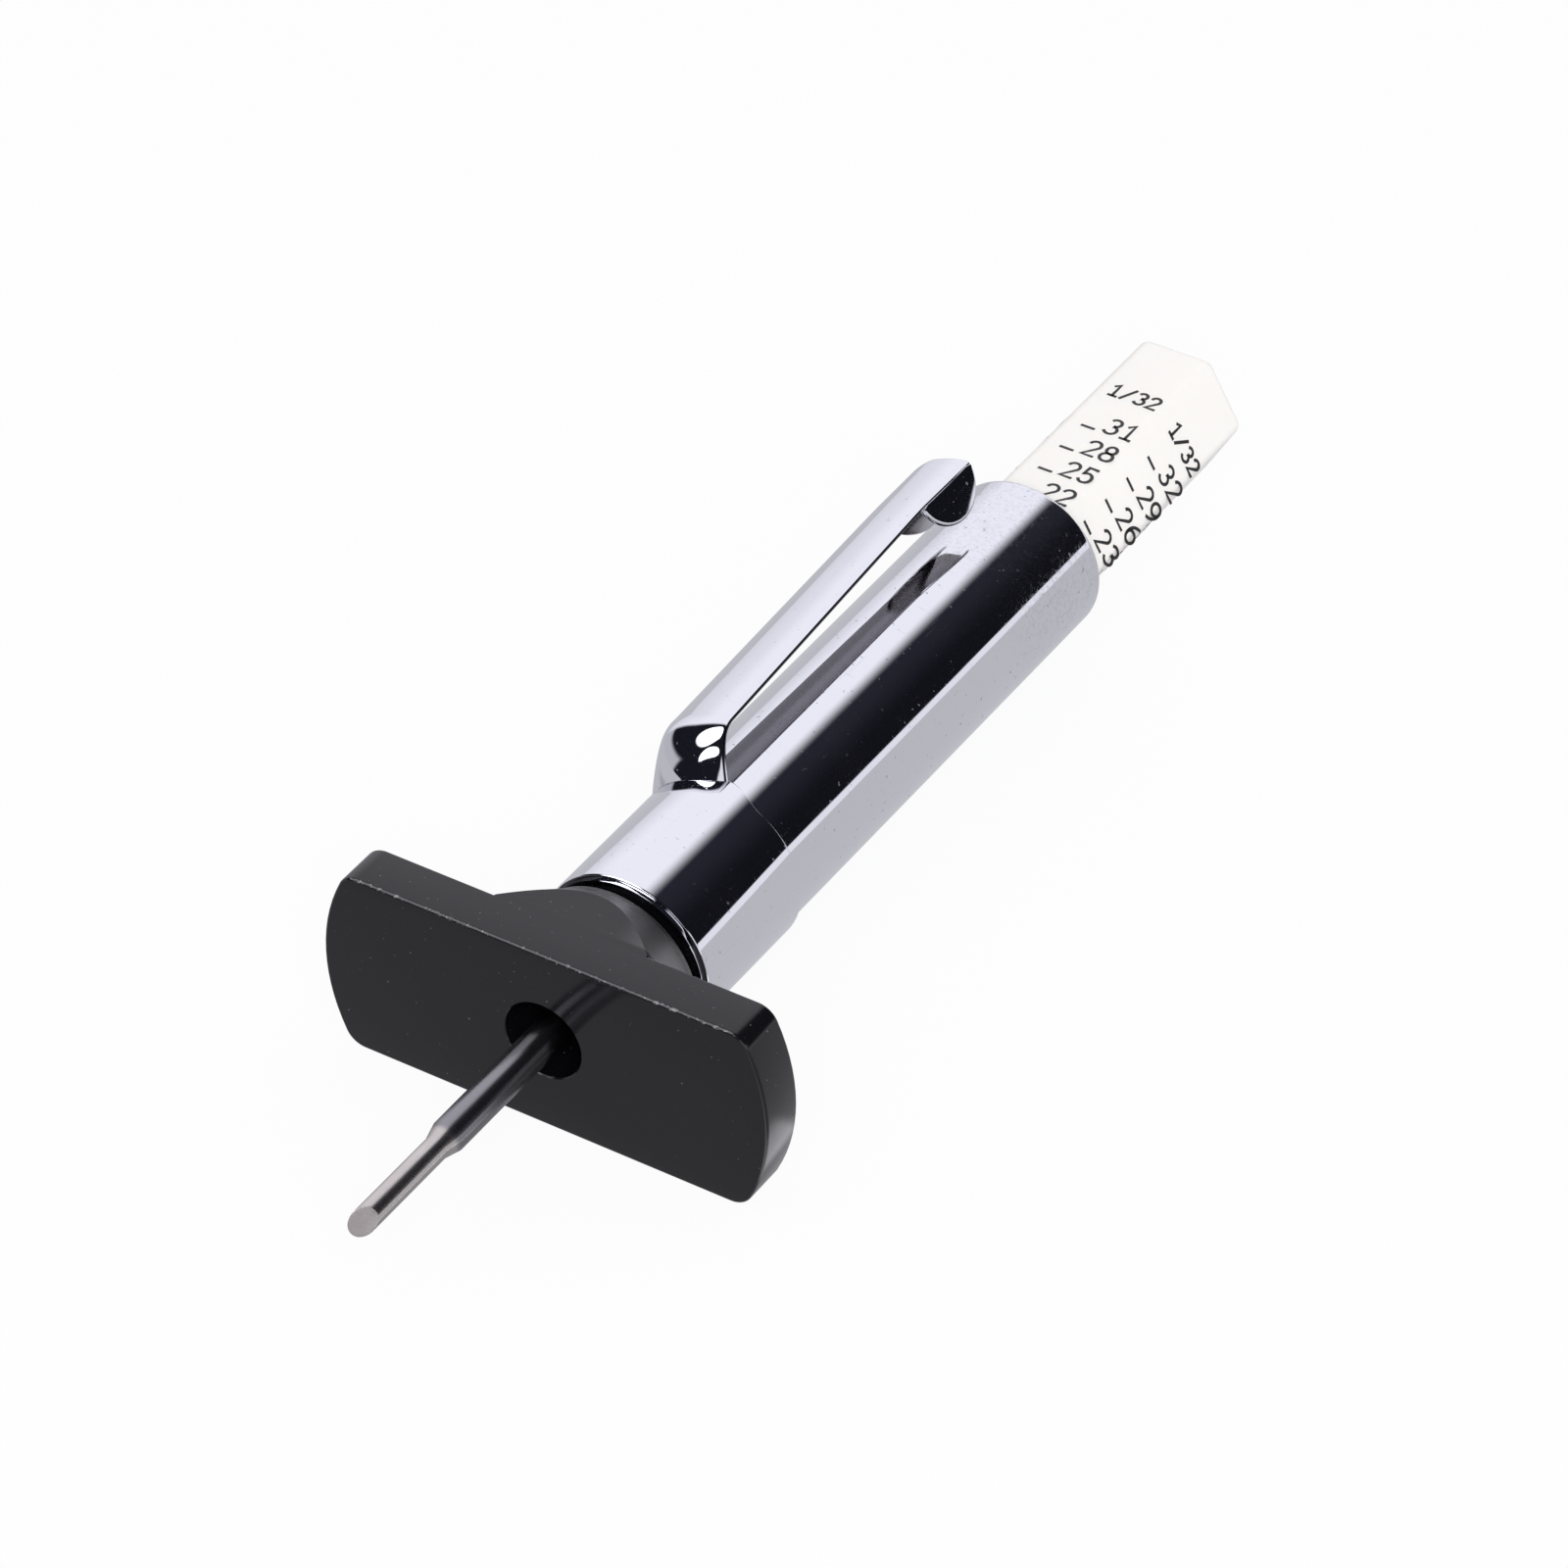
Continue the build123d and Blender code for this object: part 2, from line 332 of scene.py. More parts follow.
class Material(Tree):
    """A shader tree with coordinates in millimetres."""

    def __init__(self, name, block=None):
        self.block = block or bpy.data.materials.new(name)
        self.block.use_nodes = True
        super().__init__(self.block.node_tree)

    def place(self, scale=(1, 1, 1), turn=(0, 0, 0)):
        """Object coordinates in millimetres, stretched and turned."""
        coordinates = self.node("ShaderNodeTexCoord", output="Object")
        factors = tuple(factor / MM for factor in scale)
        return self.node("ShaderNodeMapping", None, coordinates, Scale=factors, Rotation=turn)

    def axis(self, name):
        """One object coordinate in millimetres."""
        return self.node("ShaderNodeSeparateXYZ", None, self.place(), output=name)

    def noise(self, scale, detail=3.0, roughness=0.5, stretch=(1, 1, 1), turn=(0, 0, 0)):
        """Noise with features about 1 / scale millimetres wide."""
        place = self.place(stretch, turn)
        choices = {"Vector": place, "Scale": scale, "Detail": detail, "Roughness": roughness}
        return self.node("ShaderNodeTexNoise", None, **choices)

    def dot(self, vector, direction):
        """The length of a vector along a fixed direction."""
        product = {"operation": "DOT_PRODUCT"}
        return self.node("ShaderNodeVectorMath", product, vector, direction, output="Value")

    def mix(self, factor, first, second):
        """Mix two colours."""
        return self.node("ShaderNodeMixRGB", None, factor, first, second)

    def bump(self, height, strength, distance):
        """A bump of the given height in millimetres."""
        depth = distance * MM
        return self.node("ShaderNodeBump", None, Strength=strength, Distance=depth, Height=height)

    def surface(self, **named):
        """Finish the material with a Principled shader."""
        shader = self.node("ShaderNodeBsdfPrincipled", None, **named)
        self.node("ShaderNodeOutputMaterial", None, shader)
        return self.block


def colour(red, green, blue):
    """An opaque colour in linear light."""
    return (red, green, blue, 1.0)


# Finishes

# The lobes as the clip's finish sees them: how high they begin over the barrel's axis, and
# where the near one starts across the clip
lobe_top = 7.55
near_lobe_start = 1.25

# How much of the barrel's rear is rubbed, and a Y beyond every piece
rubbed_length = 11.0
nowhere = 99.0


def plating(finish, scratches, rubbed_from):
    """Colour and roughness of bright nickel-chrome plate, rubbed from one Y on."""
    haze = finish.noise(0.35, 4.0, 0.6)
    long_scratch = finish.noise(1.1, 2.0, 0.5, (14, 0.25, 14), (0, 0, 0.12))
    cross_scratch = finish.noise(1.0, 2.0, 0.5, (0.5, 9, 3), (0.5, 0, 0.7))
    scratch = long_scratch.above(0.70, 0.02) + cross_scratch.above(0.71, 0.02)
    speck = finish.noise(3.2, 1.0, 0.4).above(0.735, 0.02)
    rub = finish.noise(3.6, 4.0, 0.8).above(0.50, 0.06)
    rubbed = finish.axis("Y").above(rubbed_from, 5.0) * rub
    marks = scratch * 0.5 + speck + rubbed * 0.30
    tone = finish.mix(marks * scratches, colour(0.80, 0.80, 0.84), colour(0.56, 0.565, 0.625))
    rough = 0.035 + haze.above(0.45, 0.35) * 0.035 + marks * (0.30 * scratches)
    return tone, rough


def thin_plating(finish, tone, rough):
    """The same plate with light and shade painted on: darker under the clip's arm as painted shade,
    darker along the arm's long edges as a painted dark reflection, and a paler, rougher tone on the
    far lobe's inner side."""
    normal = finish.node("ShaderNodeNewGeometry", output="Normal")
    beyond_band = finish.axis("Y").above(band_end + 0.8, 0.4)
    at_lobes = finish.axis("Y").above(arm_waist - 0.3, 0.3)
    # Painted shade: the arm's underside beyond the band is darkened
    under = finish.dot(normal, -clip_up).above(0.35, 0.3) * beyond_band
    sideways = finish.dot(normal, clip_across)
    # Painted dark reflection along the arm's long edges, away from the lobes
    edge_dark_reflection = (sideways * sideways).above(0.35, 0.25) * beyond_band * (1 - at_lobes)
    height = finish.dot(finish.place(), clip_up)
    across = finish.dot(finish.place(), clip_across)
    inside = at_lobes * (1 - height.above(lobe_top, 0.2)) * (1 - across.above(near_lobe_start, 0.2))
    painted_shade = under + inside * (1 - under)
    # The painted shade is dark grey under the arm; the far lobe's inner side gets a paler grey
    # instead
    painted_shade_tone = finish.mix(inside, colour(0.30, 0.29, 0.30), colour(0.72, 0.70, 0.70))
    tone = finish.mix(painted_shade, tone, painted_shade_tone)
    tone = finish.mix(edge_dark_reflection, tone, colour(0.09, 0.09, 0.11))
    return tone, rough + painted_shade * 0.12


def chrome(name, scratches=1.0, painted_shade_below=False, rubbed_from=nowhere):
    """Nickel-chrome plate with faint haze, fine scratches, specks and a gentle ripple, and, if
    asked, the clip's painted shade.
    """
    finish = Material(name)
    tone, rough = plating(finish, scratches, rubbed_from)
    if painted_shade_below:
        tone, rough = thin_plating(finish, tone, rough)
    ripple = finish.noise(0.22, 2.0, 0.4, (1, 0.5, 1))
    pits = finish.noise(2.2, 3.0, 0.6)
    bump = finish.bump(ripple + pits * 0.012, 0.35, 0.03)
    return finish.surface(Base_Color=tone, Metallic=1.0, Roughness=rough, Normal=bump)


def black_plastic():
    """Semi-gloss black plastic with a faint skin, specks of dust, a nicked front edge, and its hub
    painted a little lighter as painted light.
    """
    finish = Material("black_plastic")
    along = finish.axis("Y")
    face = 1 - along.above(0.02, 0.02)
    front_edge = (1 - along.above(0.10, 0.1)) * finish.axis("Z").above(foot_top - 0.16, 0.1)
    hub = along.above(foot_thickness + 0.2, 0.3) * (1 - along.above(hub_top - 0.2, 0.2))
    cloud = finish.noise(0.25, 3.0, 0.5)
    dust = finish.noise(4.5, 2.0, 0.5).above(0.72, 0.03)
    nick = front_edge * finish.noise(2.6, 4.0, 0.7, (1, 1, 2)).above(0.56, 0.05)
    # Dust and nicks are wear; the hub's share is painted light that makes the whole hub a little
    # lighter
    worn = dust * 0.30 + nick * 0.6 + hub * 0.015
    tone = finish.mix(worn, colour(0.0045, 0.0043, 0.0060), colour(0.36, 0.36, 0.38))
    rough = 0.13 + cloud * 0.10 + dust * 0.2 + nick * 0.3 + hub * 0.17 - face * 0.07
    bump = finish.bump(finish.noise(2.4, 3.0, 0.5), 0.10, 0.01)
    # The hub is rubbed to a shine on its right side
    shine = hub * finish.axis("X").above(2.0, 2.5)
    return finish.surface(
        Base_Color=tone,
        Roughness=rough,
        Normal=bump,
        Coat_Weight=shine,
        Coat_Roughness=0.3,
    )


def white_plastic():
    """Cream-white moulded plastic, slightly translucent."""
    finish = Material("white_plastic")
    cloud = finish.noise(0.3, 3.0, 0.5)
    tone = finish.mix(cloud, colour(0.94, 0.90, 0.875), colour(0.96, 0.935, 0.91))
    skin = finish.noise(1.6, 3.0, 0.5)
    bump = finish.bump(skin, 0.12, 0.012)
    return finish.surface(
        Base_Color=tone,
        Roughness=0.38,
        Normal=bump,
        Subsurface_Weight=0.25,
        Subsurface_Radius=(1.0, 0.7, 0.55),
        Subsurface_Scale=0.0015,
    )


def ground_steel():
    """Drawn steel wire with lengthways lines, a duller ground tip and a thick shank painted darker
    as painted shade.
    """
    finish = Material("ground_steel")
    lines = finish.noise(3.0, 3.0, 0.6, (1, 0.06, 1))
    stain = finish.noise(0.6, 3.0, 0.5)
    height = finish.dot(finish.place(), ground_facing)
    ground = height.above(ground_facing.dot(ground_middle) - 0.03, 0.03)
    # Painted shade: the thick shank beside the foot is painted darker
    shank_shade = finish.axis("Y").above(step_start + 0.5, 0.4)
    worn = finish.mix(stain, colour(0.54, 0.50, 0.475), colour(0.68, 0.64, 0.61))
    drawn = finish.mix(shank_shade, worn, colour(0.30, 0.295, 0.31))
    tone = finish.mix(ground, drawn, colour(0.55, 0.51, 0.485))
    rough = 0.18 + ground * 0.30 + lines * (1 - ground) * 0.16
    bump = finish.bump(lines * (1 - ground * 0.94), 0.25, 0.02)
    return finish.surface(Base_Color=tone, Metallic=1.0, Roughness=rough, Normal=bump)


def ink():
    """Black marking ink, a little worn."""
    finish = Material("ink")
    wear = finish.noise(6.0, 2.0, 0.5).above(0.55, 0.3)
    tone = finish.mix(wear, colour(0.014, 0.013, 0.014), colour(0.04, 0.037, 0.037))
    return finish.surface(Base_Color=tone, Roughness=0.45)


def rubber():
    """Plain black rubber."""
    finish = Material("black_rubber")
    bloom = finish.noise(1.0, 3.0, 0.5)
    tone = finish.mix(bloom, colour(0.015, 0.015, 0.015), colour(0.03, 0.03, 0.03))
    return finish.surface(Base_Color=tone, Roughness=0.6 + bloom * 0.2)


chrome_plate = chrome("chrome_plate", rubbed_from=barrel_end - rubbed_length)
chrome_sheet = chrome("chrome_sheet", scratches=0.6, painted_shade_below=True)


def dress(piece, material, body, node):
    """Give a piece its finish and its body, and hide the node it stands for."""
    piece.data.materials.clear()
    piece.data.materials.append(material)
    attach(piece, body)
    if node:
        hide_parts(node)


# Foot: the crosspiece with its bulged ends and rounded edges, and the flare behind it

def foot_outline(inset=0.0, corner_steps=10, end_steps=14):
    """The crosspiece's outline in (x, z), pulled in by inset."""
    half_length = foot_length / 2
    half_depth = foot_depth / 2
    end_radius = (half_depth**2 + foot_end_bulge**2) / (2 * foot_end_bulge)
    end_centre = half_length - end_radius
    corner_z = half_depth - foot_corner_round
    corner_x = end_centre + sqrt((end_radius - foot_corner_round) ** 2 - corner_z**2)
    end_angle = degrees(atan2(corner_z, corner_x - end_centre))
    quarter = []
    for step in range(corner_steps + 1):
        angle = radians(90 + (end_angle - 90) * step / corner_steps)
        reach = foot_corner_round - inset
        quarter.append((corner_x + reach * cos(angle), corner_z + reach * sin(angle)))
    for step in range(1, end_steps):
        angle = radians(end_angle - 2 * end_angle * step / end_steps)
        reach = end_radius - inset
        quarter.append((end_centre + reach * cos(angle), reach * sin(angle)))
    lower = [(x, -z) for x, z in reversed(quarter[: corner_steps + 1])]
    right = quarter + lower
    left = [(-x, -z) for x, z in right]
    return right + left


def make_crosspiece(steps=6):
    """The crosspiece, with its long edges rounded."""
    rings = []
    for edge_y, direction in ((0.0, 1), (foot_thickness, -1)):
        edge = []
        for step in range(steps + 1):
            angle = pi / 2 * step / steps
            inset = foot_edge_round * (1 - sin(angle))
            y = edge_y + direction * foot_edge_round * (1 - cos(angle))
            edge.append([(x, y, z) for x, z in foot_outline(inset)])
        rings += edge if direction > 0 else list(reversed(edge))
    bm = bmesh.new()
    ring_tube(bm, rings, closed=False)
    return finish_mesh(bm, "foot")


def make_hub():
    """The flare, its rounded lip, the neck and the plug, turned and then cut flat by the
    foot's long sides."""
    low = (hub_base_radius, foot_thickness)
    middle = (hub_middle_radius, foot_thickness + hub_middle_height)
    high = (hub_top_radius, hub_top - hub_edge_round)
    profile = [(on_axis, foot_thickness / 2), (hub_base_radius, foot_thickness / 2)]
    profile += three_point_arc(low, middle, high, 24)
    lip_centre = (hub_top_radius - hub_edge_round, hub_top - hub_edge_round)
    profile += arc(lip_centre, hub_edge_round, 0, 90, 8)[1:]
    profile += [(neck_radius, hub_top), (neck_radius, barrel_start)]
    profile += [(bore, barrel_start), (bore, plug_end), (on_axis, plug_end)]
    bm = bmesh.new()
    lathe(bm, profile, closed=False)
    hub = finish_mesh(bm, "hub")

    bm = bmesh.new()
    bmesh.ops.create_cube(bm, size=1.0)
    bmesh.ops.scale(bm, vec=(2 * foot_length, 4 * plug_end, foot_depth), verts=bm.verts)
    cut(hub, finish_mesh(bm, "slab"), "INTERSECT")
    return hub


def make_hole():
    """The probe's hole as a solid: a wide mouth with a worn rim, a cone and the guide."""
    worn_rim = mouth_radius + mouth_edge_wear
    far_end = plug_end + hole_overrun
    profile = [(on_axis, -hole_overrun), (worn_rim, -hole_overrun), (worn_rim, 0.0)]
    profile += [(mouth_radius, mouth_edge_wear), (mouth_radius, mouth_depth)]
    profile += [(guide_radius, mouth_depth + mouth_cone), (guide_radius, far_end)]
    profile += [(on_axis, far_end)]
    bm = bmesh.new()
    lathe(bm, profile, 128, closed=False)
    return finish_mesh(bm, "hole")


def make_foot():
    """The whole moulding: crosspiece and hub with the probe's hole through both."""
    plate = make_crosspiece()
    cut(plate, make_hub(), "UNION")
    cut(plate, make_hole(), "DIFFERENCE")
    bm = in_millimetres(plate.data)
    bpy.data.objects.remove(plate)
    return finish_mesh(bm, "foot_shell", 30.0)


def three_point_arc(first, middle, last, steps):
    """Points of the circle through three points, from the first to the last."""
    (ax, ay), (bx, by), (cx, cy) = first, middle, last
    a, b, c = ax**2 + ay**2, bx**2 + by**2, cx**2 + cy**2
    scale = 2 * (ax * (by - cy) + bx * (cy - ay) + cx * (ay - by))
    centre_x = (a * (by - cy) + b * (cy - ay) + c * (ay - by)) / scale
    centre_y = (a * (cx - bx) + b * (ax - cx) + c * (bx - ax)) / scale
    radius = sqrt((ax - centre_x) ** 2 + (ay - centre_y) ** 2)
    start = degrees(atan2(ay - centre_y, ax - centre_x))
    end = degrees(atan2(cy - centre_y, cx - centre_x))
    turn = (end - start + 180) % 360 - 180
    return arc((centre_x, centre_y), radius, start, start + turn, steps)


foot = make_foot()
dress(foot, black_plastic(), "case", "foot")


# Barrel

def make_barrel():
    """The drawn tube, with its rear rim rolled in to a small lip."""
    profile = [(bore, barrel_start), (barrel_radius, barrel_start)]
    profile += arc((barrel_radius - rim_round, barrel_end - rim_round), rim_round, 0, 90, 12)
    profile += [(bore - rim_lip, barrel_end), (bore - rim_lip, barrel_end - rim_lip_depth)]
    profile += [(bore, barrel_end - rim_lip_depth)]
    bm = bmesh.new()
    lathe(bm, profile, 256)
    return finish_mesh(bm, "barrel_tube")


barrel = make_barrel()
dress(barrel, chrome_plate, "case", "barrel")


# Pocket clip: a band, a steep root and a sprung arm of one sheet

# On the near (1) and the far side (-1): the waist's width, the tip's width and its corner radius
tip_sides = {
    1: (arm_waist_near, tip_width_near, tip_round_near),
    -1: (arm_waist_far, tip_width_far, tip_round_far),
}


def arm_place(y, u):
    """A point of the arm's outer skin: y along the crown, u across from the crown line."""
    share = min(max((y - band_end) / root_length, 0), 1)
    run = max(0, y - arm_start)
    fade = (1 - share) ** root_fullness
    half_width = blend_between(crease_half_width, arm_half_width, share)
    crown = band_radius + arm_root_lift * (1 - fade) + arm_rise * run
    crease_drop = band_radius - sqrt(band_radius**2 - crease_half_width**2)
    drop = blend_between(arm_arch, crease_drop, fade)
    edge_share = abs(u / half_width) ** arm_flatness
    lag = root_side_lag * (1 - share) * edge_share if u > 0 else 0
    return Vector((0, y + lag, 0)) + clip_across * u + clip_up * (crown - drop * edge_share)


def arm_reach(y, side):
    """How far the arm's outline reaches to one side of the crown line at y."""
    waist_width, tip_width, corner = tip_sides[side]
    if y < arm_start:
        share = max((y - band_end) / root_length, 0)
        half_width = blend_between(crease_half_width, arm_half_width, share)
        if side < 0:
            half_width += flank_flare * (1 - share) ** 4
    elif y < arm_waist:
        share = (y - arm_start) / (arm_waist - arm_start)
        half_width = blend_between(arm_half_width, waist_width, share)
    else:
        half_width = blend_between(waist_width, tip_width, (y - arm_waist) / ear_length)
    into = max(0, y - (arm_end - corner))
    return half_width - corner + sqrt(max(0, corner**2 - into**2))


def arm_ring(y, thickness, steps=24, edge_steps=5):
    """A closed section of the sheet with rounded long edges."""
    tiny = 0.01
    radius = thickness / 2
    frames = []
    far = -arm_reach(y, -1) + radius
    near = arm_reach(y, 1) - radius
    for step in range(steps + 1):
        u = blend_between(far, near, step / steps)
        across = (arm_place(y, u + tiny) - arm_place(y, u - tiny)).normalized()
        along = arm_place(y + tiny, u) - arm_place(y - tiny, u)
        out = across.cross(along).normalized()
        frames.append((arm_place(y, u) - out * sheet / 2, out, across))
    ring = [middle + out * radius for middle, out, _ in frames]
    for sign, (middle, out, across) in ((1, frames[-1]), (-1, frames[0])):
        for step in range(1, edge_steps):
            turn = pi * step / edge_steps
            lift, aside = radius * cos(turn) * sign, radius * sin(turn) * sign
            ring.append(middle + out * lift + across * aside)
        if sign > 0:
            ring += [middle - out * radius for middle, out, _ in reversed(frames)]
    return ring


def add_band(bm):
    """The band round the barrel, its rear edge drawn out towards the arm."""
    edge = sheet / 2
    profile = arc((band_radius - edge, band_start + edge), edge, -90, 0, 6)
    profile += arc((band_radius - edge, band_end - edge), edge, 0, 90, 6)
    profile += [(barrel_radius, band_end), (barrel_radius, band_start)]
    rings = []
    for radius, y in profile:
        at_rear = y > (band_start + band_end) / 2
        ring = []
        for angle in round_angles(256):
            drawn = swoop(angle) if at_rear else 0
            ring.append((radius * sin(angle), y + drawn, radius * cos(angle)))
        rings.append(ring)
    ring_tube(bm, rings)


def add_arm(bm):
    """The root and the arm, with sections that lie closer in the root and at the tip."""
    edge = sheet / 2
    tip_start = arm_end - tip_run
    last = arm_end - edge
    places = []
    for start, end, count in (
        (band_end, arm_start, 40),
        (arm_start, tip_start, 28),
        (tip_start, last, 20),
    ):
        places += [blend_between(start, end, step / count) for step in range(count)]
    places.append(blend_between(tip_start, last, 1.0))
    rings = [arm_ring(y, sheet) for y in places]
    edge_steps = 6
    for step in range(1, edge_steps):
        turn = pi / 2 * step / edge_steps
        rings.append(arm_ring(last + edge * sin(turn), sheet * cos(turn)))
    ring_tube(bm, rings, closed=False)


def make_clip():
    """Band, arm and the two lobes bent down at its tip."""
    bm = bmesh.new()
    add_band(bm)
    add_arm(bm)
    add_ear(bm, 1, ear_depth_near, radians(ear_lean_near), 0)
    add_ear(bm, -1, ear_depth_far, radians(ear_lean_far), ear_setback_far)
    return finish_mesh(bm, "clip_sheet", 40.0)


def swoop(angle):
    """How far the band's rear edge is drawn out towards the arm at an angle round the barrel."""
    root = asin(crease_half_width / band_radius)
    off = abs((angle - radians(clip_turn) + pi) % (2 * pi) - pi)
    share = min(max((off - root) / radians(band_swoop_spread), 0), 1)
    return band_swoop * (1 - share * share * (3 - 2 * share))


def add_ear(bm, side, depth, lean, setback):
    """A lobe at the arm's tip, bent down towards the barrel, with a rounded outer rim."""
    waist_width, tip_width, _ = tip_sides[side]
    spread = side * (tip_width - waist_width) / ear_length
    along_fold = (arm_along + clip_across * spread).normalized()
    down = clip_across * (side * sin(lean)) - clip_up * cos(lean)
    out = down.cross(along_fold).normalized() * side
    tip_edge = arm_place(arm_end, side * (tip_width - sheet)) - clip_up * (sheet / 3 + ear_sink)
    top = tip_edge - along_fold * (setback + ear_length / 2) + out * sheet
    half_chord = ear_length / 2
    radius = (half_chord**2 + depth**2) / (2 * depth)
    reach = asin(min(1.0, half_chord / radius))
    if depth > half_chord:
        reach = pi - reach
    steps = 40
    outline = []
    for step in range(steps + 1):
        turn = blend_between(-reach, reach, step / steps)
        outline.append((radius * sin(turn), depth - radius + radius * cos(turn)))
    chord_steps = 12
    for step in range(1, chord_steps):
        outline.append((half_chord - ear_length * step / chord_steps, -ear_root))
    centre = (0.0, depth / 2)
    rings = []
    rim_steps = 5
    for step in range(rim_steps + 1):
        turn = pi / 2 * step / rim_steps
        inset = ear_rim_round * (1 - sin(turn))
        sunk = top - out * (ear_rim_round * (1 - cos(turn)))
        rings.append(ear_ring(outline, centre, inset, sunk, along_fold, down))
    rings.append(ear_ring(outline, centre, 0, top - out * sheet, along_fold, down))
    ring_tube(bm, rings, closed=False)


def ear_ring(outline, centre, inset, top, along_fold, down):
    """The lobe's outline drawn in towards its centre by about inset."""
    ring = []
    for along, drop in outline:
        pull = Vector((centre[0] - along, centre[1] - drop))
        pull = pull.normalized() * min(inset, pull.length * 0.5)
        ring.append(top + along_fold * (along + pull.x) + down * (drop + pull.y))
    return ring


clip = make_clip()
dress(clip, chrome_sheet, "case", "pocket_clip")


# Scale bar: six flat faces with rounded corners, and the round head

def hexagon_ring(inset, y, corner_steps=6):
    """A rounded hexagon with flat faces at the top and bottom, pulled in by inset."""
    flat = bar_flat_to_flat / 2
    centre = (flat - bar_corner_round) / cos(pi / 6)
    reach = bar_corner_round - inset
    ring = []
    for corner in range(6):
        middle = radians(30 + 60 * corner)
        for step in range(corner_steps + 1):
            angle = middle + radians(60 * step / corner_steps - 30)
            x = centre * sin(middle) + reach * sin(angle)
            z = centre * cos(middle) + reach * cos(angle)
            ring.append((x, y, z))
    return ring


def make_bar():
    """The hexagonal bar, its foot sunk in the grooved head, and its rounded end."""
    rings = [hexagon_ring(0, head_top - bar_root)]
    steps = 8
    for step in range(steps + 1):
        angle = pi / 2 * step / steps
        inset = bar_end_round * (1 - cos(angle))
        rings.append(hexagon_ring(inset, bar_end - bar_end_round * (1 - sin(angle))))
    groove_start = head_start + head_length / 2 - groove_width / 2
    groove_end = head_start + head_length / 2 + groove_width / 2
    profile = [(on_axis, head_start), (head_radius - head_lead, head_start)]
    profile += [(head_radius, head_start + head_lead), (head_radius, groove_start)]
    profile += [(groove_floor, groove_start), (groove_floor, groove_end)]
    profile += [(head_radius, groove_end), (head_radius, head_top), (on_axis, head_top)]
    bm = bmesh.new()
    ring_tube(bm, rings, closed=False)
    lathe(bm, profile, 96, closed=False)
    return finish_mesh(bm, "scale_bar_body", 28.0)


bar = make_bar()
dress(bar, white_plastic(), "slider", "scale_bar")


# Probe pin

def make_pin():
    """Stepped wire, its end ground flat and a little askew."""
    stock = probe_tip - ground_off
    profile = [(on_axis, stock), (probe_tip_radius, stock), (probe_tip_radius, step_start)]
    profile += [(probe_radius, step_start + probe_step_length), (probe_radius, probe_end)]
    profile += [(on_axis, probe_end)]
    bm = bmesh.new()
    lathe(bm, profile, 64, closed=False)
    everything = bm.verts[:] + bm.edges[:] + bm.faces[:]
    plane = {"plane_co": ground_middle, "plane_no": ground_facing}
    bmesh.ops.bisect_plane(bm, geom=everything, clear_outer=True, **plane)
    rim = [edge for edge in bm.edges if edge.is_boundary]
    bmesh.ops.contextual_create(bm, geom=rim)
    bevel = {"offset": ground_edge, "segments": 2, "profile": 0.5, "affect": "EDGES"}
    bmesh.ops.bevel(bm, geom=rim, clamp_overlap=True, **bevel)
    return finish_mesh(bm, "probe_wire", 20.0)


pin = make_pin()
dress(pin, ground_steel(), "slider", "probe_pin")

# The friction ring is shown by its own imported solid
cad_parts["friction_ring"].data.materials.clear()
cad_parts["friction_ring"].data.materials.append(rubber())


# Printed scale: rows of marks by Geometry Nodes, and figures drawn with the strokes of a pen

def pen_arc(x, y, rx, ry, start, end, steps=12):
    """Points of a pen's elliptical sweep."""
    points = []
    for step in range(steps + 1):
        angle = radians(start + (end - start) * step / steps)
        points.append((x + rx * cos(angle), y + ry * sin(angle)))
    return points


# The strokes of each figure, in a box one high with its left side at 0
GLYPHS = {
    "0": [pen_arc(0.28, 0.5, 0.25, 0.5, 0, 360, 24)],
    "1": [[(0.08, 0.80), (0.30, 1.0), (0.30, 0.0)], [(0.08, 0.0), (0.52, 0.0)]],
    "2": [pen_arc(0.28, 0.74, 0.25, 0.26, 165, -30) + [(0.03, 0.0), (0.54, 0.0)]],
    "3": [
        pen_arc(0.26, 0.765, 0.23, 0.235, 150, -90)
        + pen_arc(0.26, 0.265, 0.27, 0.265, 90, -150)
    ],
    "4": [[(0.42, 0.0), (0.42, 1.0), (0.02, 0.30), (0.56, 0.30)]],
    "5": [[(0.50, 1.0), (0.12, 1.0), (0.08, 0.56)] + pen_arc(0.27, 0.32, 0.27, 0.32, 130, -150)],
    "6": [
        pen_arc(0.28, 0.30, 0.26, 0.30, 170, -190, 24)
        + pen_arc(0.56, 0.38, 0.54, 0.62, 175, 105, 8)
    ],
    "7": [[(0.03, 1.0), (0.53, 1.0), (0.20, 0.0)]],
    "8": [
        pen_arc(0.28, 0.76, 0.21, 0.24, -90, 270, 20),
        pen_arc(0.28, 0.27, 0.27, 0.27, 90, 450, 24),
    ],
    "9": [
        pen_arc(0.28, 0.70, 0.26, 0.30, -10, 350, 24)
        + pen_arc(0.0, 0.62, 0.54, 0.62, -5, -75, 8)
    ],
    "/": [[(0.0, 0.0), (0.5, 1.0)]],
}
GLYPH_MIDDLE = 0.28

# The faces are counted from the top one round towards +X. For each: first number, last number,
# step, and the mark's middle across the face
inch_faces = {0: (1, 31, 3, -0.66), 1: (2, 32, 3, -0.30), 5: (3, 30, 3, -0.95)}
metric_faces = {2: (1, 25, 3, -0.66), 3: (2, 23, 3, -0.66), 4: (3, 24, 3, -0.66)}

# Where the heading starts across each inch face
heading_sides = {0: -1.05, 1: -0.65, 5: -1.3}


